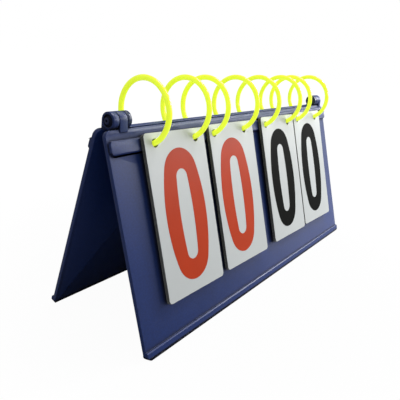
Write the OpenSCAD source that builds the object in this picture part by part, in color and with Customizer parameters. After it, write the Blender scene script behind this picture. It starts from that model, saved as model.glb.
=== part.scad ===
// Tabletop flip scoreboard: two hinged panels stand as an A-frame, and four stacks
// of number cards hang on rings that pass through both panels.
// Origin: middle of the footprint at table level. X runs along the board, the score
// side faces -Y, and Z is up. Each panel is drawn flat in its own board frame: x along
// the board, y up the panel with the hinge axis at y = 0, z out of the panel.

/* [Board] */
// Width of the board
board_w = 380; // [310:1:460]
// Height of each panel along its slope, below its top edge
panel_h = 171.7; // [140:0.1:230]
// Thickness of each panel
panel_t = 3.5; // [2.5:0.1:5]
// Lean of each panel from upright when the board stands open
half_angle = 17.6; // [14:0.1:22]
// Gap between a panel's inner face and the middle plane when folded flat
fold_gap = 0.2; // [0.1:0.05:0.6]
// Radius of the two upper corners of a panel
corner_top_r = 5; // [2:0.5:9]
// Radius of the two lower corners of a panel
corner_bottom_r = 4; // [2:0.5:9]

/* [Rib and lip] */
// Height of the rib left above and below the ring slots
rib_rim = 1.2; // [0.8:0.1:3]
// How far the rib stands out of the panel
rib_out = 2.6; // [1.5:0.1:4]
// Distance of the rib's ends from the sides of the board
rib_inset = 1; // [0.5:0.5:6]
// Height of the raised lip along the bottom edge
lip_h = 6.8; // [4:0.1:12]
// How far the lip stands out of the panel
lip_out = 2; // [1:0.1:4]

/* [Hinge] */
// Outer radius of the hinge knuckles and of the pin heads
knuckle_r = 6.5; // [5.5:0.1:8]
// Distance of each hinge from its side of the board
hinge_inset = 8; // [6:0.5:14]
// Length of the outer knuckle, which the pin snaps into
outer_knuckle_l = 5.5; // [5:0.1:8]
// Length of the inner knuckle, which turns on the pin
inner_knuckle_l = 7.8; // [5:0.1:10]
// Thickness of the pin's head
pin_head_l = 4; // [2:0.1:6]
// Radius of the hinge pin
pin_r = 2.5; // [1.8:0.1:3]
// Radius of the recess in the outer knuckle
recess_r = 4.6; // [4.2:0.1:4.8]
// Depth of that recess
recess_l = 2.2; // [1.6:0.1:3]

/* [Rings] */
// Radius of a ring at the middle of its wire
ring_r = 25; // [23:0.5:30]
// Radius of the ring's wire
wire_r = 2.3; // [1.9:0.05:2.5]
// Height of the ring centres above the hinge axis
ring_rise = 5; // [4.5:0.1:5.5]
// How far the ring centres lean towards the score side
ring_lean = 2.5; // [2:0.1:3]
// How far the two middle stacks and their rings have slid sideways
slide = 0.9; // [0:0.1:1]
// How far a ring can slide sideways in a panel's slot
slot_slack = 1.3; // [1.3:0.1:2.5]
// Room left above and below a ring's wire in a panel's slot
slot_room = 0.25; // [0.2:0.05:1]

/* [Cards] */
// Bare width of the board beyond the outer cards
side_margin = 30.25; // [27:0.25:40]
// Bare height of the panel below the cards
bottom_margin = 33.1; // [12:0.1:60]
// Thickness of a card
card_t = 0.22; // [0.16:0.01:0.23]
// Distance from one card's face to the next in a stack
card_pitch = 0.34; // [0.33:0.01:0.5]
// Corner radius of a card
card_r = 3; // [1:0.5:6]
// Gap between the two cards of each score
card_gap = 3.5; // [2:0.5:6]
// Gap between the two scores
score_gap = 20.5; // [10:0.5:30]
// Distance of a card's holes from its sides
card_hole_inset = 11.75; // [8:0.25:16]
// Room left between a ring's wire and the edge of a card's hole
card_hole_room = 1.1; // [1.05:0.05:1.5]
// Distance of a card's holes below its top edge
card_hole_drop = 7.8; // [6:0.1:12]
// How far each stack's cards are cut off centre from their holes and digits
cut_shift = [0.3, 4.5, 2.7, 2.5]; // [0:0.1:5]
// How far the cards have swung sideways on their rings
swing = 1; // [0:0.1:1.5]

/* [Digits] */
// Height of a digit as a share of the card's height
digit_high = 0.82; // [0.6:0.01:0.86]
// Width of a digit as a share of the card's width
digit_wide = 0.69; // [0.5:0.01:0.72]
// Width of a stroke as a share of the digit's width
stroke_wide = 0.335; // [0.2:0.005:0.38]
// Thickness of the printed ink
ink_t = 0.08; // [0.04:0.01:0.08]

/* [Hidden] */
$fn = 64;
stacks = 4;
cards_per_stack = 10;
blue = [0.13, 0.18, 0.36];
dark_blue = [0.08, 0.11, 0.24];
ring_yellow = [0.85, 0.95, 0.05];
card_white = [0.86, 0.87, 0.9];
ink_red = [0.75, 0.2, 0.13];
ink_black = [0.13, 0.13, 0.14];

// Clearances: between a turning knuckle and its neighbours, and round the pin.
side_gap = 0.3;
edge_gap = 0.4;
turn_fit = 0.05;
snap_fit = 0.02;
weld = 0.5;

panel_top = -knuckle_r - edge_gap;
panel_bottom = panel_top - panel_h;
panel_face = fold_gap + panel_t;
rib_face = panel_face + rib_out;
lip_face = panel_face + lip_out;
// The hinge axis is as high as makes the lip's lower edge meet the table.
hinge_z = -panel_bottom * cos(half_angle) - lip_face * sin(half_angle);

// Ring centres in the front panel's board frame.
ring_y = ring_rise * cos(half_angle) - ring_lean * sin(half_angle);
ring_z = ring_rise * sin(half_angle) + ring_lean * cos(half_angle);
// Height at which a ring crosses the plane z of the front panel's board frame.
function ring_cross_y(z) = ring_y - sqrt(ring_r * ring_r - (z - ring_z) * (z - ring_z));
// The slots are centred between the ring's lowest crossing, at the front panel, and
// its highest, at the rear panel's rib.
rear_ring_y = ring_rise * cos(half_angle) + ring_lean * sin(half_angle);
rear_ring_z = ring_rise * sin(half_angle) - ring_lean * cos(half_angle);
rear_reach = rib_face - rear_ring_z;
low_cross = ring_cross_y(ring_z);
high_cross = rear_ring_y - sqrt(ring_r * ring_r - rear_reach * rear_reach);
slot_y = (low_cross + high_cross) / 2;
// Half the wire's height where it crosses a panel or a card at a slant.
slant = 1.05;
wire_slant_r = wire_r * slant;
slot_r = (high_cross - low_cross) / 2 + wire_slant_r + slot_room;
rib_h = 2 * (slot_r + rib_rim);
rib_end_r = 3.2;
rib_chamfer = 1.1;
lip_chamfer = 0.8;

// The last card of a stack clears the rib.
rib_gap = 0.05;
card_back = rib_face + rib_gap;
front_card_z = card_back + (cards_per_stack - 1) * card_pitch;
function card_z(n) = front_card_z - n * card_pitch;
card_hole_r = wire_slant_r + card_hole_room;
card_w = (board_w - 2 * side_margin - 2 * card_gap - score_gap) / stacks;
card_hole_span = card_w - 2 * card_hole_inset;
// Swinging lifts one hole and drops the other by this much.
hole_lift = card_hole_span / 2 * sin(swing);
hang_gap = 0.15;
// Height of the middle between a card's holes: the lower hole's upper edge lies on its ring.
function hang_y(n) =
    ring_cross_y(card_z(n) + card_t) + wire_slant_r - card_hole_r + hang_gap + hole_lift;
card_top = hang_y(0) + card_hole_drop;
card_h = card_top - panel_bottom - bottom_margin;
digit_drop = 2;
// Middle of the digit below the holes.
digit_y = card_hole_drop - card_h / 2 - digit_drop;

card_step = card_w + card_gap;
first_card_x = -(score_gap / 2 + card_w / 2 + card_step);
stack_x = [
    for (i = [0 : stacks - 1])
        let (score = floor(i / 2))
        first_card_x + i * card_step + score * (score_gap - card_gap)
];
// Slots in the panels, two to a stack and the same on both panels.
slot_x = [for (x = stack_x, side = [-1, 1]) x + side * card_hole_span / 2];
// Only the two middle stacks have slid sideways in their slots.
function slid(i) = i == 1 || i == 2 ? slide : 0;
function card_x(i) = stack_x[i] + slid(i);
function ring_x(k) = slot_x[k] + slid(floor(k / 2));

// Hinge stations along X from the side of the board inwards.
outer_end = board_w / 2 - hinge_inset;
outer_root = outer_end - outer_knuckle_l;
inner_end = outer_root - side_gap;
inner_root = inner_end - inner_knuckle_l;
head_end = inner_root - side_gap;
head_root = head_end - pin_head_l;
recess_floor = outer_end - recess_l;
web_drop = 2.5;
web_out = 0.5;
web_foot_y = panel_top - web_drop;
web_foot_z = panel_face + web_out;
barb_r = 3.2;
barb_l = 1.4;
barb_gap = 0.05;
tip_l = 3.4;
tip_hole_r = 0.9;

// ---- Frames ----

// Stands the children up in the front panel's place.
module front_frame() {
    translate([0, 0, hinge_z]) rotate([90 - half_angle, 0, 0]) children();
}

// The same turned half round, for the rear panel.
module rear_frame() {
    rotate([0, 0, 180]) front_frame() children();
}

// Cylinder along X from x0 to x1 round the hinge axis of a board frame.
module bar_x(x0, x1, r) {
    translate([x0, 0, 0]) rotate([0, 90, 0]) cylinder(r = r, h = x1 - x0);
}

// Rectangle with its own radius for the upper and for the lower corners.
module round_rect(x0, x1, y0, y1, low_r, top_r) {
    union() {
        translate([x0, y0 + low_r]) square([x1 - x0, y1 - y0 - low_r - top_r]);
        translate([x0 + low_r, y0]) square([x1 - x0 - 2 * low_r, 2 * low_r]);
        translate([x0 + top_r, y1 - 2 * top_r]) square([x1 - x0 - 2 * top_r, 2 * top_r]);
        for (x = [x0 + low_r, x1 - low_r]) translate([x, y0 + low_r]) circle(r = low_r);
        for (x = [x0 + top_r, x1 - top_r]) translate([x, y1 - top_r]) circle(r = top_r);
    }
}

// ---- Panels ----

module panel_outline() {
    round_rect(-board_w / 2, board_w / 2, panel_bottom, panel_top, corner_bottom_r, corner_top_r);
}

// Rib across the panel with rounded ends and chamfered long edges.
module rib() {
    x1 = board_w / 2 - rib_inset;
    y0 = slot_y - rib_h / 2;
    y1 = slot_y + rib_h / 2;
    root = panel_face - weld;
    intersection() {
        translate([0, 0, root]) linear_extrude(height = rib_face - root)
            round_rect(-x1, x1, y0, y1, rib_end_r, rib_end_r);
        rotate([90, 0, 90]) linear_extrude(height = board_w, center = true)
            polygon([
                [y0, root - 1], [y1, root - 1], [y1, rib_face - rib_chamfer],
                [y1 - rib_chamfer, rib_face], [y0 + rib_chamfer, rib_face], [y0, rib_face - rib_chamfer]
            ]);
    }
}

// Raised lip along the bottom edge, with a chamfer on its upper edge.
module lip() {
    y1 = panel_bottom + lip_h;
    root = panel_face - weld;
    intersection() {
        linear_extrude(height = lip_face) panel_outline();
        rotate([90, 0, 90]) linear_extrude(height = board_w, center = true)
            polygon([
                [panel_bottom, root], [y1, root], [y1, lip_face - lip_chamfer],
                [y1 - lip_chamfer, lip_face], [panel_bottom, lip_face]
            ]);
    }
}

// Knuckle round the hinge axis with a web that runs down on to the panel's outer face.
module knuckle(x0, x1) {
    reach = norm([web_foot_y, web_foot_z]);
    touch = atan2(web_foot_z, web_foot_y) - acos(knuckle_r / reach);
    translate([x0, 0, 0]) rotate([90, 0, 90]) linear_extrude(height = x1 - x0) union() {
        circle(r = knuckle_r);
        polygon([
            knuckle_r * [cos(touch), sin(touch)], [web_foot_y, web_foot_z],
            [web_foot_y, fold_gap], [0, fold_gap]
        ]);
    }
}

// Slots with half-round ends, cut right through the panel and its rib.
module ring_slots() {
    for (x = slot_x) translate([x, slot_y, -1]) linear_extrude(height = rib_face + 2) union() {
        square([2 * slot_slack, 2 * slot_r], center = true);
        for (side = [-1, 1]) translate([side * slot_slack, 0]) circle(r = slot_r);
    }
}

// One moulded panel in its board frame; front and rear are the same moulding.
module panel() {
    difference() {
        union() {
            translate([0, 0, fold_gap]) linear_extrude(height = panel_t) panel_outline();
            rib();
            lip();
            knuckle(outer_root, outer_end);
            knuckle(-inner_end, -inner_root);
        }
        ring_slots();
        bar_x(outer_root - 1, outer_end + 1, pin_r + snap_fit);
        bar_x(recess_floor, outer_end + 1, recess_r);
        bar_x(-inner_end - 1, -inner_root + 1, pin_r + turn_fit);
    }
}

// The underside is cut level, so that the open board stands on two flat strips.
module level_feet() {
    difference() {
        children();
        translate([-board_w, -board_w, -50]) cube([2 * board_w, 2 * board_w, 50]);
    }
}

module front_panel() {
    color(blue) level_feet() front_frame() panel();
}

module rear_panel() {
    color(blue) level_feet() rear_frame() panel();
}

// ---- Hinge pins ----

// Headed pin whose hollow tip snaps through the outer knuckle's recess and stands out of it.
module hinge_pin() {
    barb_root = recess_floor + barb_gap;
    difference() {
        union() {
            bar_x(head_root, head_end, knuckle_r);
            bar_x(head_end - weld, barb_root + tip_l, pin_r);
            bar_x(barb_root, barb_root + barb_l, barb_r);
        }
        bar_x(barb_root - 1, barb_root + tip_l + 1, tip_hole_r);
    }
}

module right_hinge_pin() {
    color(dark_blue) front_frame() hinge_pin();
}

module left_hinge_pin() {
    color(dark_blue) rear_frame() hinge_pin();
}

// ---- Rings ----

module ring(k) {
    color(ring_yellow) translate([ring_x(k), -ring_lean, hinge_z + ring_rise]) rotate([0, 90, 0])
        rotate_extrude() translate([ring_r, 0]) circle(r = wire_r);
}

// ---- Digits, drawn round the middle of a digit_w by digit_h box ----

digit_w = digit_wide * card_w;
digit_h = digit_high * card_h;
stroke = stroke_wide * digit_w;
x_out = digit_w / 2;
x_in = digit_w / 2 - stroke;
y_out = digit_h / 2;
y_in = digit_h / 2 - stroke;
bowl_h = digit_h / 2 + stroke / 2;
// Distance of an open bowl's end from the digit's top or foot.
open_end = stroke * 2.2;
// Radius of an oval's ends as a share of half its width.
oval_end = 0.8;

// Upright oval of four arcs that run into each other: two round ends, two long sides.
module oval(w, h) {
    end_r = w / 2 * oval_end;
    end_y = h / 2 - end_r;
    side_r = (w * w / 4 + end_y * end_y - end_r * end_r) / (w - 2 * end_r);
    side_x = side_r - w / 2;
    meet_y = end_y + end_r * end_y / (side_r - end_r);
    union() {
        intersection() {
            translate([side_x, 0]) circle(r = side_r);
            translate([-side_x, 0]) circle(r = side_r);
            square([w, 2 * meet_y], center = true);
        }
        for (side = [-1, 1]) translate([0, side * end_y]) circle(r = end_r);
    }
}

// Closed loop of the stroke's width, h high.
module loop(h) {
    difference() {
        oval(digit_w, h);
        oval(digit_w - 2 * stroke, h - 2 * stroke);
    }
}

module box(x0, x1, y0, y1) {
    translate([x0, y0]) square([x1 - x0, y1 - y0]);
}

module upper_bowl() {
    translate([0, y_out - bowl_h / 2]) loop(bowl_h);
}

module lower_bowl() {
    translate([0, bowl_h / 2 - y_out]) loop(bowl_h);
}

module digit_one() {
    box(-stroke / 4, stroke * 0.75, -y_out, y_out);
    polygon([
        [0, y_out], [-stroke / 4, y_out], [-stroke, y_out - stroke * 0.8],
        [-stroke, y_out - stroke * 1.7], [0, y_out - stroke]
    ]);
}

module digit_two() {
    difference() {
        loop(digit_h);
        box(-x_out - 1, x_out + 1, -y_out - 1, stroke);
        box(-x_out - 1, -x_in, 0, y_out - open_end);
    }
    polygon([[x_in, stroke], [x_out, stroke], [-x_in, -y_in], [-x_out, -y_in]]);
    box(-x_out, x_out, -y_out, -y_in);
}

module digit_three() {
    difference() {
        union() {
            upper_bowl();
            lower_bowl();
        }
        box(-x_out - 1, -x_in, open_end - y_out, y_out - open_end);
        box(-x_in - 1, -x_in + stroke / 4, -stroke * 1.5, stroke * 1.5);
    }
}

module digit_four() {
    bar_y = -y_out + stroke * 1.4;
    bar_top = bar_y + stroke;
    stem_left = x_in - stroke / 4;
    stem_right = stem_left + stroke * 0.95;
    difference() {
        polygon([
            [stem_left, y_out], [stem_right, y_out],
            [stem_right, bar_y], [-x_out, bar_y], [-x_out, bar_top]
        ]);
        polygon([[stem_left, y_out / 2], [stem_left, bar_top], [-x_in, bar_top]]);
    }
    box(stem_left, stem_right, -y_out, bar_y + 1);
    box(x_in, x_out, bar_y, bar_top);
}

module digit_five() {
    box(-x_out, x_out, y_in, y_out);
    box(-x_out, -x_in, 0, y_out);
    difference() {
        lower_bowl();
        box(-x_out - 1, -x_in, open_end - y_out, 0);
    }
}

module digit_six() {
    lower_bowl();
    difference() {
        loop(digit_h);
        box(x_in, x_out + 1, -y_out, y_out - open_end);
        box(-x_in, x_in + 1, -y_out - 1, 0);
    }
}

module digit_seven() {
    box(-x_out, x_out, y_in, y_out);
    polygon([[x_in, y_in + 1], [x_out, y_in + 1], [stroke / 3, -y_out], [-stroke * 0.8, -y_out]]);
}

module digit_eight() {
    upper_bowl();
    lower_bowl();
}

module digit(n) {
    if (n == 0) loop(digit_h);
    if (n == 1) digit_one();
    if (n == 2) digit_two();
    if (n == 3) digit_three();
    if (n == 4) digit_four();
    if (n == 5) digit_five();
    if (n == 6) digit_six();
    if (n == 7) digit_seven();
    if (n == 8) digit_eight();
    if (n == 9) rotate(180) digit_six();
}

// ---- Cards ----

// Places the children on stack i with their origin midway between the holes of card n,
// on its back face; card 0 is in front.
module card_place(i, n) {
    front_frame() translate([card_x(i), hang_y(n), card_z(n)]) rotate([0, 0, -swing]) children();
}

module ink(n) {
    translate([0, digit_y, card_t]) linear_extrude(height = ink_t) digit(n);
}

module plate(shift) {
    x0 = shift - card_w / 2;
    y0 = card_hole_drop - card_h;
    difference() {
        linear_extrude(height = card_t)
            round_rect(x0, x0 + card_w, y0, card_hole_drop, card_r, card_r);
        for (side = [-1, 1]) translate([side * card_hole_span / 2, 0, -1])
            cylinder(r = card_hole_r, h = card_t + 2);
    }
}

// The front card is bare, because its ink is a piece of its own.
module card(i, n) {
    color(card_white) card_place(i, n) union() {
        plate(cut_shift[i]);
        if (n > 0) ink(n);
    }
}

module front_digit(i) {
    color(i < stacks / 2 ? ink_red : ink_black) card_place(i, 0) ink(0);
}

front_panel();
rear_panel();
left_hinge_pin();
right_hinge_pin();
for (k = [0 : 2 * stacks - 1])
    ring(k);
for (i = [0 : stacks - 1])
    front_digit(i);
for (i = [0 : stacks - 1], n = [0 : cards_per_stack - 1])
    card(i, n);
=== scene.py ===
"""Tabletop flip scoreboard: finished pieces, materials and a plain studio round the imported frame."""

import math

import bmesh
import bpy
import numpy as np
from bpy.props import FloatProperty, FloatVectorProperty, IntProperty, PointerProperty
from mathutils import Matrix, Vector


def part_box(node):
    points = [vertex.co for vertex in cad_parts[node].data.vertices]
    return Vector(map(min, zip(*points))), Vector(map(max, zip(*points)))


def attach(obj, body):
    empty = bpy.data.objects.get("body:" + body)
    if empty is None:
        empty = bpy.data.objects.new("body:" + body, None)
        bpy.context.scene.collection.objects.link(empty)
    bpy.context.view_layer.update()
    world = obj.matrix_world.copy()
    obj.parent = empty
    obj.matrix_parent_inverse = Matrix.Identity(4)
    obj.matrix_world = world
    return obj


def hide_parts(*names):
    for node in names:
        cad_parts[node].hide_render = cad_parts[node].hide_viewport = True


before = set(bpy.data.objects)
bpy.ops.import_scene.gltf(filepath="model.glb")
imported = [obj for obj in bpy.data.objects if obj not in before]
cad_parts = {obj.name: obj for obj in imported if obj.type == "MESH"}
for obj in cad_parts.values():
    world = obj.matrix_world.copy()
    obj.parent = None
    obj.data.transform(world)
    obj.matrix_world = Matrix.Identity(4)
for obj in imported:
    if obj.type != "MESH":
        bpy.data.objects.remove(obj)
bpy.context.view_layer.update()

bl_info = {
    "name": "Tabletop Flip Scoreboard",
    "version": (1, 0, 0),
    "blender": (4, 5, 0),
    "location": "View3D > Sidebar > Scoreboard",
    "description": "Builds the finished pieces and materials of a folding flip scoreboard",
    "category": "Object",
}

MM = 0.001
STACKS = 4
CARDS_PER_STACK = 10
RINGS = 2 * STACKS
# Points of the CAD meshes closer than this are one point, and faces within this angle are one face.
MERGE_DISTANCE = 0.002 * MM
FLAT_ANGLE = math.radians(0.6)
# Edges that turn more than the first angle are rounded. Those that turn less than the second
# are chamfers, and take only this share of the radius.
BEVEL_ANGLE = math.radians(35)
CHAMFER_ANGLE = math.radians(60)
THIN_SHARE = 0.1
BEVEL_SEGMENTS = 3
PIN_EDGE_RADIUS = 0.3 * MM
# Edges round a ring slot are shorter than this, and lie no further than this beside its ring.
SLOT_EDGE = 3 * MM
SLOT_REACH = 7 * MM
# The feet are cut level at the table, and their thin edges up to this height stay sharp.
LEVEL_CUT = 1.6 * MM


# ---- Places read from the frame ----


def vertices_of(node):
    """All vertices of a CAD node as an array of rows."""
    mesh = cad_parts[node].data
    flat = np.empty(3 * len(mesh.vertices), np.float32)
    mesh.vertices.foreach_get("co", flat)
    return flat.reshape(-1, 3).astype(float)


def face_normal(node):
    """Normal of a flat sheet: the direction in which its vertices spread least, towards -Y."""
    points = vertices_of(node)
    spread = np.linalg.svd(points - points.mean(axis=0), full_matrices=False)[2]
    return -spread[2] * np.sign(spread[2][1])


CARD_NORMAL = face_normal("card_1_0")


def front_height(node):
    """Height of a card's foremost point along the cards' common normal."""
    return float((vertices_of(node) @ CARD_NORMAL).max())


FRONT_FACE = front_height("card_1_0")
CARD_PITCH = front_height("card_1_1") - front_height("card_1_2")
INK_HEIGHT = front_height("card_1_1") - (FRONT_FACE - CARD_PITCH)


def ring_frame(number):
    """Centre, loop radius and wire radius of a ring, from its box."""
    low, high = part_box(f"ring_{number}")
    wire = (high.x - low.x) / 2
    return (low + high) / 2, (high.z - low.z) / 2 - wire, wire


RING_X = [ring_frame(number)[0].x for number in range(1, RINGS + 1)]


# ---- Settings ----


class PlasticSettings(bpy.types.PropertyGroup):
    """Sizes and colours of the moulded board and its pins."""

    board_colour: FloatVectorProperty(
        name="Board", description="Colour of the two panels", subtype="COLOR",
        size=3, min=0, max=1, default=(0.009, 0.031, 0.160),
    )
    pin_colour: FloatVectorProperty(
        name="Pins", description="Colour of the hinge pins", subtype="COLOR",
        size=3, min=0, max=1, default=(0.005, 0.017, 0.095),
    )
    edge_radius: FloatProperty(
        name="Edge radius", description="Rounding of the moulded edges",
        default=0.45 * MM, min=0.1 * MM, max=0.8 * MM, subtype="DISTANCE", unit="LENGTH",
    )
    grain_size: FloatProperty(
        name="Grain size", description="Size of the moulded surface grain",
        default=0.9 * MM, min=0.1 * MM, max=3 * MM, subtype="DISTANCE", unit="LENGTH",
    )
    wear: FloatProperty(
        name="Edge wear", description="How far the edges are rubbed pale",
        default=0.35, min=0, max=1, subtype="FACTOR",
    )


class RingSettings(bpy.types.PropertyGroup):
    """Sizes and colour of the card rings."""

    colour: FloatVectorProperty(
        name="Rings", description="Colour of the rings", subtype="COLOR",
        size=3, min=0, max=1, default=(0.78, 0.95, 0.03),
    )
    ridge: FloatProperty(
        name="Mould line", description="How far the mould line stands out of the wire",
        default=0.05 * MM, min=0, max=0.2 * MM, subtype="DISTANCE", unit="LENGTH",
    )
    joint_turn: FloatProperty(
        name="Joint", description="Where the snap joint sits, turned from the rear of the ring",
        default=math.radians(-97), min=-math.pi, max=math.pi, subtype="ANGLE", unit="ROTATION",
    )
    steps_round: IntProperty(
        name="Steps round the loop", description="Faces along a ring's loop",
        default=192, min=48, max=400,
    )
    steps_wire: IntProperty(
        name="Steps round the wire", description="Faces round a ring's wire",
        default=40, min=12, max=96,
    )


class CardSettings(bpy.types.PropertyGroup):
    """Colours of the number cards."""

    colour: FloatVectorProperty(
        name="Cards", description="Colour of the bare card", subtype="COLOR",
        size=3, min=0, max=1, default=(0.575, 0.605, 0.605),
    )
    red_ink: FloatVectorProperty(
        name="Red ink", description="Colour of the digits of the left score", subtype="COLOR",
        size=3, min=0, max=1, default=(0.51, 0.047, 0.011),
    )
    black_ink: FloatVectorProperty(
        name="Black ink", description="Colour of the digits of the right score", subtype="COLOR",
        size=3, min=0, max=1, default=(0.005, 0.0055, 0.005),
    )


class StageSettings(bpy.types.PropertyGroup):
    """Camera, lights and floor."""

    camera_place: FloatVectorProperty(
        name="Camera", description="Place of the camera", subtype="TRANSLATION",
        unit="LENGTH", size=3, default=(-0.3996, -0.2399, 0.2258),
    )
    view_direction: FloatVectorProperty(
        name="View", description="Direction in which the camera looks", subtype="XYZ",
        size=3, default=(0.77118, 0.54636, -0.32674),
    )
    view_right: FloatVectorProperty(
        name="Right", description="Direction of the camera's right side", subtype="XYZ",
        size=3, default=(0.60071, -0.79446, 0.08933),
    )
    focal_share: FloatProperty(
        name="Focal length", description="Focal length as a share of the picture's width",
        default=1.1285, min=0.5, max=4,
    )
    key_power: FloatProperty(
        name="Key light", description="Power of the broad light to the right of the score side",
        default=7.8, min=0, max=200, unit="POWER",
    )
    rim_power: FloatProperty(
        name="Rim light", description="Power of the high light beyond the right end",
        default=6.5, min=0, max=200, unit="POWER",
    )
    strip_power: FloatProperty(
        name="Strip light", description="Power of the narrow light that glints on the chamfers",
        default=7.0, min=0, max=200, unit="POWER",
    )
    ambient: FloatProperty(
        name="Ambient", description="Strength of the light from all round", default=0.36, min=0, max=3,
    )


class ScoreboardSettings(bpy.types.PropertyGroup):
    """All settings of the scoreboard."""

    plastic: PointerProperty(name="Plastic", description="Board and pins", type=PlasticSettings)
    rings: PointerProperty(name="Rings", description="Card rings", type=RingSettings)
    cards: PointerProperty(name="Cards", description="Number cards", type=CardSettings)
    stage: PointerProperty(name="Stage", description="Camera, lights and floor", type=StageSettings)


# ---- Shader helpers ----


def put(tree, kind, sockets=(), **settings):
    """Adds a node, sets its settings, and sets or links the named sockets."""
    node = tree.nodes.new(kind)
    for key, value in settings.items():
        setattr(node, key, value)
    for key, value in dict(sockets).items():
        if isinstance(value, bpy.types.NodeSocket):
            tree.links.new(value, node.inputs[key])
        else:
            node.inputs[key].default_value = value
    return node


def calc(tree, operation, *values, clamp=False):
    """Output of a Math node over the values."""
    node = put(tree, "ShaderNodeMath", dict(enumerate(values)), operation=operation, use_clamp=clamp)
    return node.outputs[0]


def span(tree, value, low, high, to_low=0.0, to_high=1.0):
    """Value moved smoothly from the range low..high to to_low..to_high."""
    sockets = {"Value": value, "From Min": low, "From Max": high, "To Min": to_low, "To Max": to_high}
    return put(tree, "ShaderNodeMapRange", sockets, interpolation_type="SMOOTHSTEP").outputs[0]


def blend_colour(tree, factor, first, second):
    """Colour that goes from first to second with the factor."""
    node = put(tree, "ShaderNodeMix", data_type="RGBA")
    for slot, kind, value in (("Factor", "VALUE", factor), ("A", "RGBA", first), ("B", "RGBA", second)):
        socket = next(s for s in node.inputs if s.name == slot and s.type == kind)
        if isinstance(value, bpy.types.NodeSocket):
            tree.links.new(value, socket)
        else:
            socket.default_value = value
    return next(s for s in node.outputs if s.type == "RGBA")


def noise(tree, vector, scale, detail=2.0, roughness=0.5):
    """Value of a noise texture."""
    sockets = {"Vector": vector, "Scale": scale, "Detail": detail, "Roughness": roughness}
    return put(tree, "ShaderNodeTexNoise", sockets).outputs[0]


def opaque(colour):
    """Colour with full alpha."""
    return (*colour, 1.0)


def new_group(name, inputs, outputs):
    """An empty node group with named inputs (name, kind, value) and outputs (name, kind)."""
    group = bpy.data.node_groups.new(name, "ShaderNodeTree")
    for label, kind, value in inputs:
        socket = group.interface.new_socket(name=label, in_out="INPUT", socket_type=kind)
        if value is not None:
            socket.default_value = value
    for label, kind in outputs:
        group.interface.new_socket(name=label, in_out="OUTPUT", socket_type=kind)
    source = group.nodes.new("NodeGroupInput")
    sink = group.nodes.new("NodeGroupOutput")
    return group, source.outputs, sink.inputs


VECTOR, VALUE = "NodeSocketVector", "NodeSocketFloat"


def moulded_grain():
    """Height of a fine moulded grain: two octaves of noise, the coarser one four times the size."""
    group, given, result = new_group(
        "moulded_grain", [("Vector", VECTOR, None), ("Size", VALUE, 0.5 * MM)], [("Height", VALUE)]
    )
    frequency = calc(group, "DIVIDE", 1.0, given["Size"])
    fine = noise(group, given["Vector"], frequency, 3.0, 0.6)
    coarse = noise(group, given["Vector"], calc(group, "DIVIDE", frequency, 4.0), 2.0)
    group.links.new(calc(group, "MULTIPLY_ADD", coarse, 0.6, fine), result["Height"])
    return group


def rubbed_edges_and_highlight():
    """Mask of rubbed edges, which the front cards paint near white as a painted highlight: where the
    rounded normal turns from the flat one, broken by noise.
    """
    group, given, result = new_group(
        "rubbed_edges_and_highlight",
        [("Vector", VECTOR, None), ("Reach", VALUE, 0.6 * MM), ("Amount", VALUE, 0.5)],
        [("Mask", VALUE)],
    )
    rounded = put(group, "ShaderNodeBevel", {"Radius": given["Reach"]}, samples=4).outputs[0]
    flat = put(group, "ShaderNodeNewGeometry").outputs["Normal"]
    same = put(group, "ShaderNodeVectorMath", {0: rounded, 1: flat}, operation="DOT_PRODUCT")
    turn = span(group, same.outputs["Value"], 0.995, 0.90)
    patches = span(group, noise(group, given["Vector"], 90.0, 4.0, 0.65), 0.42, 0.68)
    mask = calc(group, "MULTIPLY", turn, patches)
    group.links.new(calc(group, "MULTIPLY", mask, given["Amount"], clamp=True), result["Mask"])
    return group


def settled_dust():
    """Mask of dust: surfaces that face up at rest, times a cloudy and a speckled noise."""
    group, given, result = new_group(
        "settled_dust",
        [("Vector", VECTOR, None), ("Normal", VECTOR, None), ("Amount", VALUE, 0.5)],
        [("Mask", VALUE)],
    )
    up = put(group, "ShaderNodeSeparateXYZ", {"Vector": given["Normal"]}).outputs["Z"]
    facing = span(group, up, 0.15, 0.95)
    clouds = span(group, noise(group, given["Vector"], 22.0, 4.0), 0.35, 0.75)
    specks = span(group, noise(group, given["Vector"], 1800.0, 1.0), 0.62, 0.72)
    cover = calc(group, "MULTIPLY_ADD", specks, 0.8, clouds)
    mask = calc(group, "MULTIPLY", facing, cover)
    group.links.new(calc(group, "MULTIPLY", mask, given["Amount"], clamp=True), result["Mask"])
    return group


def hairline_scuffs():
    """Mask of fine scuffs: thin bands of two noises that are drawn out along crossed directions."""
    group, given, result = new_group(
        "hairline_scuffs",
        [("Vector", VECTOR, None), ("Density", VALUE, 1.0), ("Amount", VALUE, 0.5)],
        [("Mask", VALUE)],
    )
    total = None
    for turn, stretch in ((0.5, 16.0), (-0.9, 24.0)):
        rotation, scale = (turn, turn / 3, turn), (1.0, stretch, stretch)
        sockets = {"Vector": given["Vector"], "Rotation": rotation, "Scale": scale}
        laid = put(group, "ShaderNodeMapping", sockets).outputs[0]
        frequency = calc(group, "MULTIPLY", given["Density"], 18.0)
        value = noise(group, laid, frequency, 2.0)
        line = span(group, calc(group, "ABSOLUTE", calc(group, "SUBTRACT", value, 0.5)), 0.012, 0.0)
        total = line if total is None else calc(group, "MAXIMUM", total, line)
    patches = span(group, noise(group, given["Vector"], 30.0, 2.0), 0.5, 0.7)
    mask = calc(group, "MULTIPLY", total, patches)
    group.links.new(calc(group, "MULTIPLY", mask, given["Amount"], clamp=True), result["Mask"])
    return group


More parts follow.
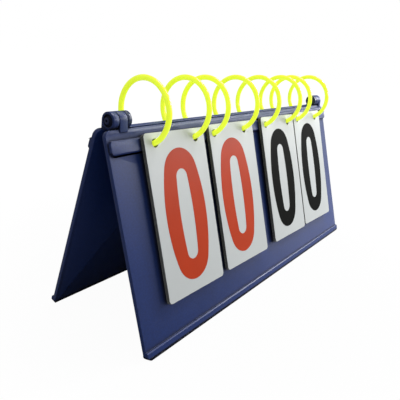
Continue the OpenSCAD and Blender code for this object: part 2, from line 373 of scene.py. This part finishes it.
def cloudy_tone():
    """Value round 1 that drifts slowly over the surface, for uneven colour and gloss."""
    group, given, result = new_group(
        "cloudy_tone",
        [("Vector", VECTOR, None), ("Scale", VALUE, 12.0), ("Swing", VALUE, 0.1)],
        [("Factor", VALUE)],
    )
    drift = noise(group, given["Vector"], given["Scale"], 3.0, 0.55)
    centred = calc(group, "SUBTRACT", drift, 0.5)
    doubled = calc(group, "MULTIPLY", given["Swing"], 2.0)
    group.links.new(calc(group, "MULTIPLY_ADD", centred, doubled, 1.0), result["Factor"])
    return group


def crevice_shade():
    """Mask of painted shade in narrow inner corners: what ambient occlusion hides within the reach."""
    group, given, result = new_group(
        "crevice_shade", [("Reach", VALUE, 2 * MM), ("Amount", VALUE, 0.8)], [("Mask", VALUE)]
    )
    hidden = put(group, "ShaderNodeAmbientOcclusion", {"Distance": given["Reach"]}, samples=6)
    closed = span(group, hidden.outputs["AO"], 0.97, 0.70)
    group.links.new(calc(group, "MULTIPLY", closed, given["Amount"], clamp=True), result["Mask"])
    return group


def cut_edge_shade():
    """Mask of a sheet's cut edges, where painted shade goes: where the normal lies across the sheet's own
    normal.
    """
    group, given, result = new_group(
        "cut_edge_shade", [("Normal", VECTOR, None), ("Sheet normal", VECTOR, None)], [("Mask", VALUE)]
    )
    sockets = {0: given["Normal"], 1: given["Sheet normal"]}
    along = put(group, "ShaderNodeVectorMath", sockets, operation="DOT_PRODUCT").outputs["Value"]
    group.links.new(span(group, calc(group, "ABSOLUTE", along), 0.6, 0.3), result["Mask"])
    return group


def shared(tree, maker, **sockets):
    """Outputs of a shared group, placed in a material with its own values."""
    group = bpy.data.node_groups.get(maker.__name__) or maker()
    named = {key.replace("_", " "): value for key, value in sockets.items()}
    return put(tree, "ShaderNodeGroup", named, node_tree=group).outputs


def start_material(name):
    """A new material: itself, its tree, its Principled shader, Object coordinates and normal."""
    material = bpy.data.materials.new(name)
    material.use_nodes = True
    tree = material.node_tree
    shader = next(node for node in tree.nodes if node.type == "BSDF_PRINCIPLED")
    coordinates = put(tree, "ShaderNodeTexCoord").outputs
    return material, tree, shader, coordinates["Object"], coordinates["Normal"]


def bump(tree, shader, height, distance):
    """Feeds a height through a Bump node into the shader's normal."""
    node = put(tree, "ShaderNodeBump", {"Height": height, "Distance": distance, "Strength": 1.0})
    tree.links.new(node.outputs[0], shader.inputs["Normal"])


def tinted(tree, colour, factor):
    """Colour times a factor that changes over the surface."""
    node = put(tree, "ShaderNodeVectorMath", {0: colour[:3], "Scale": factor}, operation="SCALE")
    return node.outputs[0]


# ---- Materials ----


# Colours of wear and dust on the board's plastic, and the painted shade of its crevices.
RUBBED_BLUE = (0.085, 0.110, 0.230, 1.0)
SCUFFED_BLUE = (0.10, 0.12, 0.20, 1.0)
BOARD_DUST = (0.30, 0.31, 0.33, 1.0)
BOARD_CREVICE_SHADE = (0.004, 0.007, 0.030, 1.0)
# Colours of dust and of the painted glow on the rings.
RING_DUST = (0.75, 0.78, 0.45, 1.0)
RING_PAINTED_GLOW = (0.74, 0.88, 0.04, 1.0)
# Colours on the cards: rubbed edges and painted shade on the cut edges of the printed ones; rubbed edges
# painted near white as a highlight, and dust, on the front ones.
CARD_RUBBED = (0.50, 0.49, 0.45, 1.0)
CARD_EDGE_SHADE = (0.11, 0.105, 0.085, 1.0)
FRONT_EDGE_HIGHLIGHT = (0.92, 0.91, 0.86, 1.0)
FRONT_DUST = (0.45, 0.44, 0.42, 1.0)
SHEET_IN_PINHOLE = (0.6, 0.6, 0.6, 1.0)


def moulded_plastic(name, colour, settings, roughness, dust):
    """Satin moulded plastic with grain, uneven tone, rubbed edges, fine scuffs, a little dust and painted
    shade in its crevices.
    """
    material, tree, shader, place, normal = start_material(name)
    tone = shared(tree, cloudy_tone, Vector=place, Scale=14.0, Swing=0.16)["Factor"]
    edge_wear_and_highlight = shared(tree, rubbed_edges_and_highlight, Vector=place, Reach=0.7 * MM, Amount=settings.wear)["Mask"]
    scuffs = shared(tree, hairline_scuffs, Vector=place, Density=1.0, Amount=0.5)["Mask"]
    cover = shared(tree, settled_dust, Vector=place, Normal=normal, Amount=dust)["Mask"]
    # Painted shade: ambient occlusion darkens the colour and dulls the gloss in narrow inner corners.
    crevice_shade_mask = shared(tree, crevice_shade, Reach=3.5 * MM, Amount=1.0)["Mask"]
    mottle = shared(tree, cloudy_tone, Vector=place, Scale=700.0, Swing=0.35)["Factor"]
    base = tinted(tree, colour, calc(tree, "MULTIPLY", tone, mottle))
    base = blend_colour(tree, edge_wear_and_highlight, base, RUBBED_BLUE)
    base = blend_colour(tree, calc(tree, "MULTIPLY", scuffs, 0.25), base, SCUFFED_BLUE)
    base = blend_colour(tree, cover, base, BOARD_DUST)
    # Painted shade darkens the colour in the crevices.
    base = blend_colour(tree, crevice_shade_mask, base, BOARD_CREVICE_SHADE)
    tree.links.new(base, shader.inputs["Base Color"])
    gloss = shared(tree, cloudy_tone, Vector=place, Scale=35.0, Swing=0.18)["Factor"]
    rough = calc(tree, "MULTIPLY", gloss, roughness)
    rough = calc(tree, "MULTIPLY_ADD", scuffs, 0.12, rough)
    rough = calc(tree, "MULTIPLY_ADD", edge_wear_and_highlight, -0.08, rough)
    rough = calc(tree, "MULTIPLY_ADD", cover, 0.5, rough)
    rough = calc(tree, "MULTIPLY_ADD", crevice_shade_mask, 0.5, rough, clamp=True)
    tree.links.new(rough, shader.inputs["Roughness"])
    grain = shared(tree, moulded_grain, Vector=place, Size=settings.grain_size)["Height"]
    sink = shared(tree, cloudy_tone, Vector=place, Scale=9.0, Swing=1.0)["Factor"]
    height = calc(tree, "MULTIPLY_ADD", sink, 4.0, grain)
    height = calc(tree, "MULTIPLY_ADD", scuffs, -0.3, height)
    bump(tree, shader, height, 0.04 * MM)
    return material


def ring_plastic(colour):
    """Bright flexible plastic: a soft painted glow (emission, though the rings are no lamp) under a glossy
    skin, with faint streaks and finger marks.
    """
    material, tree, shader, place, normal = start_material("ring_plastic")
    tone = shared(tree, cloudy_tone, Vector=place, Scale=60.0, Swing=0.05)["Factor"]
    cover = shared(tree, settled_dust, Vector=place, Normal=normal, Amount=0.03)["Mask"]
    base = blend_colour(tree, cover, tinted(tree, colour, tone), RING_DUST)
    tree.links.new(base, shader.inputs["Base Color"])
    marks = shared(tree, cloudy_tone, Vector=place, Scale=220.0, Swing=0.25)["Factor"]
    scuffs = shared(tree, hairline_scuffs, Vector=place, Density=4.0, Amount=0.4)["Mask"]
    rough = calc(tree, "MULTIPLY_ADD", scuffs, 0.15, calc(tree, "MULTIPLY", marks, 0.24), clamp=True)
    tree.links.new(rough, shader.inputs["Roughness"])
    shader.inputs["Subsurface Weight"].default_value = 0.55
    shader.inputs["Subsurface Radius"].default_value = (1.0, 1.0, 0.15)
    shader.inputs["Subsurface Scale"].default_value = 3 * MM
    shader.inputs["Coat Weight"].default_value = 0.6
    shader.inputs["Coat Roughness"].default_value = 0.08
    # Painted glow: emission brightens the rings, which are no lamp.
    shader.inputs["Emission Color"].default_value = RING_PAINTED_GLOW
    shader.inputs["Emission Strength"].default_value = 0.70
    ripple = shared(tree, cloudy_tone, Vector=place, Scale=130.0, Swing=1.0)["Factor"]
    bump(tree, shader, ripple, 0.05 * MM)
    return material


def sheet_finish(tree, shader, place, roughness):
    """Roughness and bump of a calendered plastic sheet: faint flow streaks and a fine orange peel."""
    gloss = shared(tree, cloudy_tone, Vector=place, Scale=26.0, Swing=0.14)["Factor"]
    scuffs = shared(tree, hairline_scuffs, Vector=place, Density=1.6, Amount=0.5)["Mask"]
    rough = calc(tree, "MULTIPLY_ADD", scuffs, 0.12, calc(tree, "MULTIPLY", gloss, roughness), clamp=True)
    tree.links.new(rough, shader.inputs["Roughness"])
    peel = shared(tree, moulded_grain, Vector=place, Size=1.1 * MM)["Height"]
    wave = shared(tree, cloudy_tone, Vector=place, Scale=16.0, Swing=1.0)["Factor"]
    height = calc(tree, "MULTIPLY_ADD", wave, 10.0, peel)
    bump(tree, shader, calc(tree, "MULTIPLY_ADD", scuffs, -0.5, height), 0.012 * MM)


def card_plastic(name, colour, ink):
    """White sheet with coloured printing: ink lies where a point is above its own card's face."""
    material, tree, shader, place, normal = start_material(name)
    tone = shared(tree, cloudy_tone, Vector=place, Scale=18.0, Swing=0.035)["Factor"]
    edge_wear_and_highlight = shared(tree, rubbed_edges_and_highlight, Vector=place, Reach=0.5 * MM, Amount=0.30)["Mask"]
    bare = blend_colour(tree, edge_wear_and_highlight, tinted(tree, colour, tone), CARD_RUBBED)
    # Painted shade: the cut edges of the printed cards are darkened where shade falls between the stacked
    # sheets.
    edge = shared(tree, cut_edge_shade, Normal=normal, Sheet_normal=tuple(CARD_NORMAL))["Mask"]
    bare = blend_colour(tree, edge, bare, CARD_EDGE_SHADE)
    height = put(tree, "ShaderNodeVectorMath", {0: place, 1: tuple(CARD_NORMAL)}, operation="DOT_PRODUCT")
    depth = calc(tree, "DIVIDE", calc(tree, "SUBTRACT", FRONT_FACE, height.outputs["Value"]), CARD_PITCH)
    # In each pitch the ink's top comes first, then the bare face, and the back face last.
    ink_share = INK_HEIGHT / CARD_PITCH
    phase = calc(tree, "FRACT", calc(tree, "ADD", depth, 1.25 * ink_share))
    printed = calc(tree, "LESS_THAN", phase, 0.75 * ink_share)
    tree.links.new(blend_colour(tree, printed, bare, opaque(ink)), shader.inputs["Base Color"])
    shader.inputs["Specular IOR Level"].default_value = 0.25
    sheet_finish(tree, shader, place, roughness=0.42)
    return material


def bare_card(name, colour):
    """White sheet without printing, for the front cards, whose digits are pieces of their own."""
    material, tree, shader, place, normal = start_material(name)
    tone = shared(tree, cloudy_tone, Vector=place, Scale=18.0, Swing=0.035)["Factor"]
    # Painted highlight along with wear: the front cards' edges are painted near white, brighter than the
    # sheet.
    edge_wear_and_highlight = shared(tree, rubbed_edges_and_highlight, Vector=place, Reach=1.1 * MM, Amount=0.7)["Mask"]
    sheet = blend_colour(tree, edge_wear_and_highlight, tinted(tree, colour, tone), FRONT_EDGE_HIGHLIGHT)
    cover = shared(tree, settled_dust, Vector=place, Normal=normal, Amount=0.04)["Mask"]
    tree.links.new(blend_colour(tree, cover, sheet, FRONT_DUST), shader.inputs["Base Color"])
    sheet_finish(tree, shader, place, roughness=0.40)
    return material


def printed_ink(name, colour, shine, roughness):
    """Screen-printed ink: a slightly uneven film with pinholes that let the sheet show through."""
    material, tree, shader, place, _ = start_material(name)
    tone = shared(tree, cloudy_tone, Vector=place, Scale=45.0, Swing=0.10)["Factor"]
    holes = span(tree, noise(tree, place, 2600.0, 1.0), 0.78, 0.84)
    showing = calc(tree, "MULTIPLY", holes, 0.25)
    film = blend_colour(tree, showing, tinted(tree, colour, tone), SHEET_IN_PINHOLE)
    tree.links.new(film, shader.inputs["Base Color"])
    shader.inputs["Specular IOR Level"].default_value = shine
    sheet_finish(tree, shader, place, roughness)
    return material


def dress(node, material):
    """Gives a CAD node its material."""
    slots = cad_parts[node].data.materials
    slots.clear()
    slots.append(material)


# ---- Meshes ----


def rounding_share(edge, level):
    """Share of the edge radius that an edge takes: all on a plain sharp edge, and a little on
    chamfers and on the short edges round the ring slots, because the rim beside them is thin.
    """
    turn = edge.calc_face_angle(0)
    if turn < BEVEL_ANGLE or min(vertex.co.z for vertex in edge.verts) <= level:
        return 0.0
    middle = (edge.verts[0].co.x + edge.verts[1].co.x) / 2
    at_slot = edge.calc_length() < SLOT_EDGE and min(abs(middle - x) for x in RING_X) < SLOT_REACH
    return THIN_SHARE if at_slot or turn < CHAMFER_ANGLE else 1.0


def merged_copy(node, name, level=0.0):
    """A copy of a CAD node as one closed mesh: doubles merged and flat neighbours joined.

    Its sharp edges above the level are weighted for rounding.
    """
    shape = bmesh.new()
    shape.from_mesh(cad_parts[node].data)
    bmesh.ops.remove_doubles(shape, verts=shape.verts, dist=MERGE_DISTANCE)
    bmesh.ops.dissolve_limit(
        shape, angle_limit=FLAT_ANGLE, verts=shape.verts, edges=shape.edges, delimit={"NORMAL"}
    )
    bmesh.ops.recalc_face_normals(shape, faces=shape.faces)
    weight = shape.edges.layers.float.new("bevel_weight_edge")
    for edge in shape.edges:
        edge[weight] = rounding_share(edge, level)
    mesh = bpy.data.meshes.new(name)
    shape.to_mesh(mesh)
    shape.free()
    return mesh


def new_piece(name, mesh, material, body):
    """Puts a mesh into the scene as a piece that rides on a body."""
    mesh.materials.clear()
    mesh.materials.append(material)
    piece = bpy.data.objects.new(name, mesh)
    bpy.context.scene.collection.objects.link(piece)
    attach(piece, body)
    return piece


def round_edges(piece, radius):
    """Rounds the weighted edges with a Bevel modifier and shades the rest smooth."""
    piece.data.polygons.foreach_set("use_smooth", np.ones(len(piece.data.polygons), bool))
    bevel = piece.modifiers.new("rounded_edges", "BEVEL")
    bevel.width = radius
    bevel.segments = BEVEL_SEGMENTS
    bevel.limit_method = "WEIGHT"
    bevel.use_clamp_overlap = False
    bevel.harden_normals = True
    bevel.miter_outer = "MITER_ARC"


def torus_surface(centre, loop, wire, settings):
    """Ring surface over two angles, u round the loop and v round the wire.

    A point is centre + (loop + r cos v) (0, cos u, sin u) + r sin v (1, 0, 0). The wire's
    radius r is the plain one, plus a thin mould ridge at v = 0 and v = 180 degrees, plus a
    low swelling round the snap joint, less the joint's fine groove.
    """
    ridge_reach = 0.16 * MM
    swelling_height, swelling_reach = 0.12 * MM, 3.2 * MM
    groove_depth, groove_reach = 0.35 * MM, 0.22 * MM
    # Steps gather round the joint, where the groove needs them.
    gather = 0.82
    u = np.linspace(0, 2 * math.pi, settings.steps_round, endpoint=False)
    u = settings.joint_turn + u - gather * np.sin(u)
    v = np.linspace(0, 2 * math.pi, settings.steps_wire, endpoint=False)
    u, v = np.meshgrid(u, v, indexing="ij")
    along = (np.mod(u - settings.joint_turn + math.pi, 2 * math.pi) - math.pi) * loop
    ridge = settings.ridge * np.exp(-((np.sin(v) * wire / ridge_reach) ** 2))
    swelling = swelling_height * np.exp(-((along / swelling_reach) ** 4))
    groove = groove_depth * np.exp(-((along / groove_reach) ** 2))
    r = wire - settings.ridge + ridge + swelling - groove
    reach = loop + r * np.cos(v)
    points = np.stack([r * np.sin(v), reach * np.cos(u), reach * np.sin(u)], axis=-1)
    return (points + np.array(centre)).reshape(-1, 3)


def wrapped_faces(rows, columns):
    """Quads of a grid that closes on itself both ways, row by row."""
    i, j = np.meshgrid(np.arange(rows), np.arange(columns), indexing="ij")
    row, next_row = i * columns, (i + 1) % rows * columns
    next_j = (j + 1) % columns
    return np.stack([row + j, next_row + j, next_row + next_j, row + next_j], axis=-1).reshape(-1, 4)


def mesh_from(name, points, faces):
    """Mesh from arrays, smooth, with its faces turned outwards."""
    mesh = bpy.data.meshes.new(name)
    mesh.from_pydata(points.tolist(), [], faces.tolist())
    shape = bmesh.new()
    shape.from_mesh(mesh)
    bmesh.ops.recalc_face_normals(shape, faces=shape.faces)
    shape.to_mesh(mesh)
    shape.free()
    mesh.polygons.foreach_set("use_smooth", np.ones(len(mesh.polygons), bool))
    return mesh


# ---- Operators ----


class SCOREBOARD_OT_panels(bpy.types.Operator):
    """Finish the two moulded panels with rounded edges and satin plastic"""

    bl_idname = "scoreboard.panels"
    bl_label = "Panels"

    def execute(self, context):
        plastic = context.scene.scoreboard.plastic
        colour = plastic.board_colour
        material = moulded_plastic("panel_plastic", colour, plastic, roughness=0.40, dust=0.05)
        for side in ("front", "rear"):
            node = f"{side}_panel"
            mesh = merged_copy(node, f"{side}_shell", LEVEL_CUT)
            piece = new_piece(f"{side}_shell", mesh, material, node)
            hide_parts(node)
            round_edges(piece, plastic.edge_radius)
        return {"FINISHED"}


class SCOREBOARD_OT_pins(bpy.types.Operator):
    """Finish the two hinge pins"""

    bl_idname = "scoreboard.pins"
    bl_label = "Hinge pins"

    def execute(self, context):
        plastic = context.scene.scoreboard.plastic
        colour = plastic.pin_colour
        material = moulded_plastic("pin_plastic", colour, plastic, roughness=0.30, dust=0.03)
        for side, body in (("left", "rear_panel"), ("right", "front_panel")):
            node = f"{side}_hinge_pin"
            mesh = merged_copy(node, f"{side}_pin")
            piece = new_piece(f"{side}_pin", mesh, material, body)
            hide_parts(node)
            round_edges(piece, PIN_EDGE_RADIUS)
        return {"FINISHED"}


class SCOREBOARD_OT_rings(bpy.types.Operator):
    """Make the eight rings with their mould line and snap joint"""

    bl_idname = "scoreboard.rings"
    bl_label = "Rings"

    def execute(self, context):
        settings = context.scene.scoreboard.rings
        material = ring_plastic(settings.colour)
        faces = wrapped_faces(settings.steps_round, settings.steps_wire)
        for number in range(1, RINGS + 1):
            node = f"ring_{number}"
            points = torus_surface(*ring_frame(number), settings)
            mesh = mesh_from(f"loop_{number}", points, faces)
            piece = new_piece(f"loop_{number}", mesh, material, node)
            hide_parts(node)
        return {"FINISHED"}


class SCOREBOARD_OT_cards(bpy.types.Operator):
    """Give the forty cards their sheet and printing"""

    bl_idname = "scoreboard.cards"
    bl_label = "Number cards"

    def execute(self, context):
        cards = context.scene.scoreboard.cards
        front = bare_card("card_sheet", cards.colour)
        printed = {
            "left": card_plastic("card_sheet_red", cards.colour, cards.red_ink),
            "right": card_plastic("card_sheet_black", cards.colour, cards.black_ink),
        }
        for stack in range(1, STACKS + 1):
            dress(f"card_{stack}_0", front)
            for number in range(1, CARDS_PER_STACK):
                dress(f"card_{stack}_{number}", printed["left" if stack <= STACKS / 2 else "right"])
        return {"FINISHED"}


class SCOREBOARD_OT_digits(bpy.types.Operator):
    """Give the four front digits their ink"""

    bl_idname = "scoreboard.digits"
    bl_label = "Front digits"

    def execute(self, context):
        cards = context.scene.scoreboard.cards
        red = printed_ink("ink_red", cards.red_ink, shine=0.12, roughness=0.38)
        black = printed_ink("ink_black", cards.black_ink, shine=0.03, roughness=0.6)
        for stack in range(1, STACKS + 1):
            dress(f"digit_{stack}_0", red if stack <= STACKS / 2 else black)
        return {"FINISHED"}


def area_light(name, place, target, size, power):
    """Puts a rectangular soft white light at a place, turned to its target."""
    lamp = bpy.data.lights.new(name, "AREA")
    lamp.shape = "RECTANGLE"
    lamp.size, lamp.size_y = size
    lamp.energy = power
    light = bpy.data.objects.new(name, lamp)
    light.location = place
    light.rotation_euler = (Vector(target) - Vector(place)).to_track_quat("-Z", "Y").to_euler()
    bpy.context.scene.collection.objects.link(light)


def floor_material():
    """Pale floor that takes a faint shadow near the board and melts into the white surround."""
    material, tree, shader, place, _ = start_material("pale_floor")
    shader.inputs["Base Color"].default_value = (0.30, 0.30, 0.30, 1.0)
    shader.inputs["Roughness"].default_value = 0.9
    shader.inputs["Specular IOR Level"].default_value = 0.1
    distance = put(tree, "ShaderNodeVectorMath", {0: place}, operation="LENGTH").outputs["Value"]
    pale = span(tree, distance, 0.12, 0.55, 0.94, 1.0)
    seen = put(tree, "ShaderNodeLightPath").outputs["Is Camera Ray"]
    glow = put(tree, "ShaderNodeEmission", {"Color": (1, 1, 1, 1), "Strength": 1.03})
    share = calc(tree, "MULTIPLY", pale, seen)
    mixed = put(tree, "ShaderNodeMixShader", {0: share, 1: shader.outputs[0], 2: glow.outputs[0]})
    output = next(node for node in tree.nodes if node.type == "OUTPUT_MATERIAL")
    tree.links.new(mixed.outputs[0], output.inputs["Surface"])
    return material


def make_floor(scene):
    """Puts a large plain floor under the board."""
    half = 4.0
    corners = [(-half, -half, 0), (half, -half, 0), (half, half, 0), (-half, half, 0)]
    mesh = bpy.data.meshes.new("floor")
    mesh.from_pydata(corners, [], [(0, 1, 2, 3)])
    mesh.materials.append(floor_material())
    floor = bpy.data.objects.new("floor", mesh)
    scene.collection.objects.link(floor)


def make_surround(scene, ambient):
    """Makes a surround that looks white and lights the board from all round with the ambient strength."""
    world = bpy.data.worlds.new("surround")
    world.use_nodes = True
    scene.world = world
    tree = world.node_tree
    background = next(node for node in tree.nodes if node.type == "BACKGROUND")
    background.inputs["Color"].default_value = (1, 1, 1, 1)
    seen = put(tree, "ShaderNodeLightPath").outputs["Is Camera Ray"]
    strength = calc(tree, "MULTIPLY_ADD", seen, 1.0 - ambient, ambient)
    tree.links.new(strength, background.inputs["Strength"])


def make_camera(scene, settings):
    """Puts the camera at its place, looking along the view direction with the right side squared to it."""
    forward = Vector(settings.view_direction).normalized()
    right = Vector(settings.view_right)
    right = (right - right.dot(forward) * forward).normalized()
    up = right.cross(forward)
    lens = bpy.data.cameras.new("camera")
    lens.lens = settings.focal_share * lens.sensor_width
    lens.clip_start, lens.clip_end = 0.01, 100
    camera = bpy.data.objects.new("camera", lens)
    turn = Matrix((right, up, -forward)).transposed().to_4x4()
    camera.matrix_world = Matrix.Translation(settings.camera_place) @ turn
    scene.collection.objects.link(camera)
    scene.camera = camera


class SCOREBOARD_OT_stage(bpy.types.Operator):
    """Set up the floor, the surround, the soft lights and the camera"""

    bl_idname = "scoreboard.stage"
    bl_label = "Stage"

    def execute(self, context):
        scene = context.scene
        settings = scene.scoreboard.stage
        make_floor(scene)
        make_surround(scene, settings.ambient)
        middle, foot = (0, 0, 0.09), (0, -0.06, 0)
        key, rim, strip = settings.key_power, settings.rim_power, settings.strip_power
        area_light("key_light", (0.90, -0.75, 0.50), middle, size=(1.0, 0.45), power=key)
        area_light("rim_light", (0.45, 0.0, 1.30), middle, size=(0.5, 0.5), power=rim)
        area_light("strip_light", (0.82, -0.25, 0.66), foot, size=(0.14, 0.8), power=strip)
        make_camera(scene, settings)
        scene.view_settings.view_transform = "Standard"
        return {"FINISHED"}


class SCOREBOARD_PT_build(bpy.types.Panel):
    """Lists the steps that build the scoreboard"""

    bl_label = "Scoreboard"
    bl_idname = "SCOREBOARD_PT_build"
    bl_space_type = "VIEW_3D"
    bl_region_type = "UI"
    bl_category = "Scoreboard"

    def draw(self, context):
        for step in STEPS:
            self.layout.operator(step.bl_idname)
        for part in ("plastic", "rings", "cards", "stage"):
            settings = getattr(context.scene.scoreboard, part)
            box = self.layout.box()
            for name in settings.__annotations__:
                box.prop(settings, name)


STEPS = (
    SCOREBOARD_OT_panels, SCOREBOARD_OT_pins, SCOREBOARD_OT_rings,
    SCOREBOARD_OT_cards, SCOREBOARD_OT_digits, SCOREBOARD_OT_stage,
)
CLASSES = (
    PlasticSettings, RingSettings, CardSettings, StageSettings, ScoreboardSettings,
    *STEPS, SCOREBOARD_PT_build,
)


def register():
    for item in CLASSES:
        bpy.utils.register_class(item)
    bpy.types.Scene.scoreboard = PointerProperty(type=ScoreboardSettings)


def unregister():
    del bpy.types.Scene.scoreboard
    for item in reversed(CLASSES):
        bpy.utils.unregister_class(item)


def main():
    """Builds everything in order."""
    register()
    for step in STEPS:
        area, name = step.bl_idname.split(".")
        getattr(getattr(bpy.ops, area), name)()


if __name__ == "__main__":
    main()
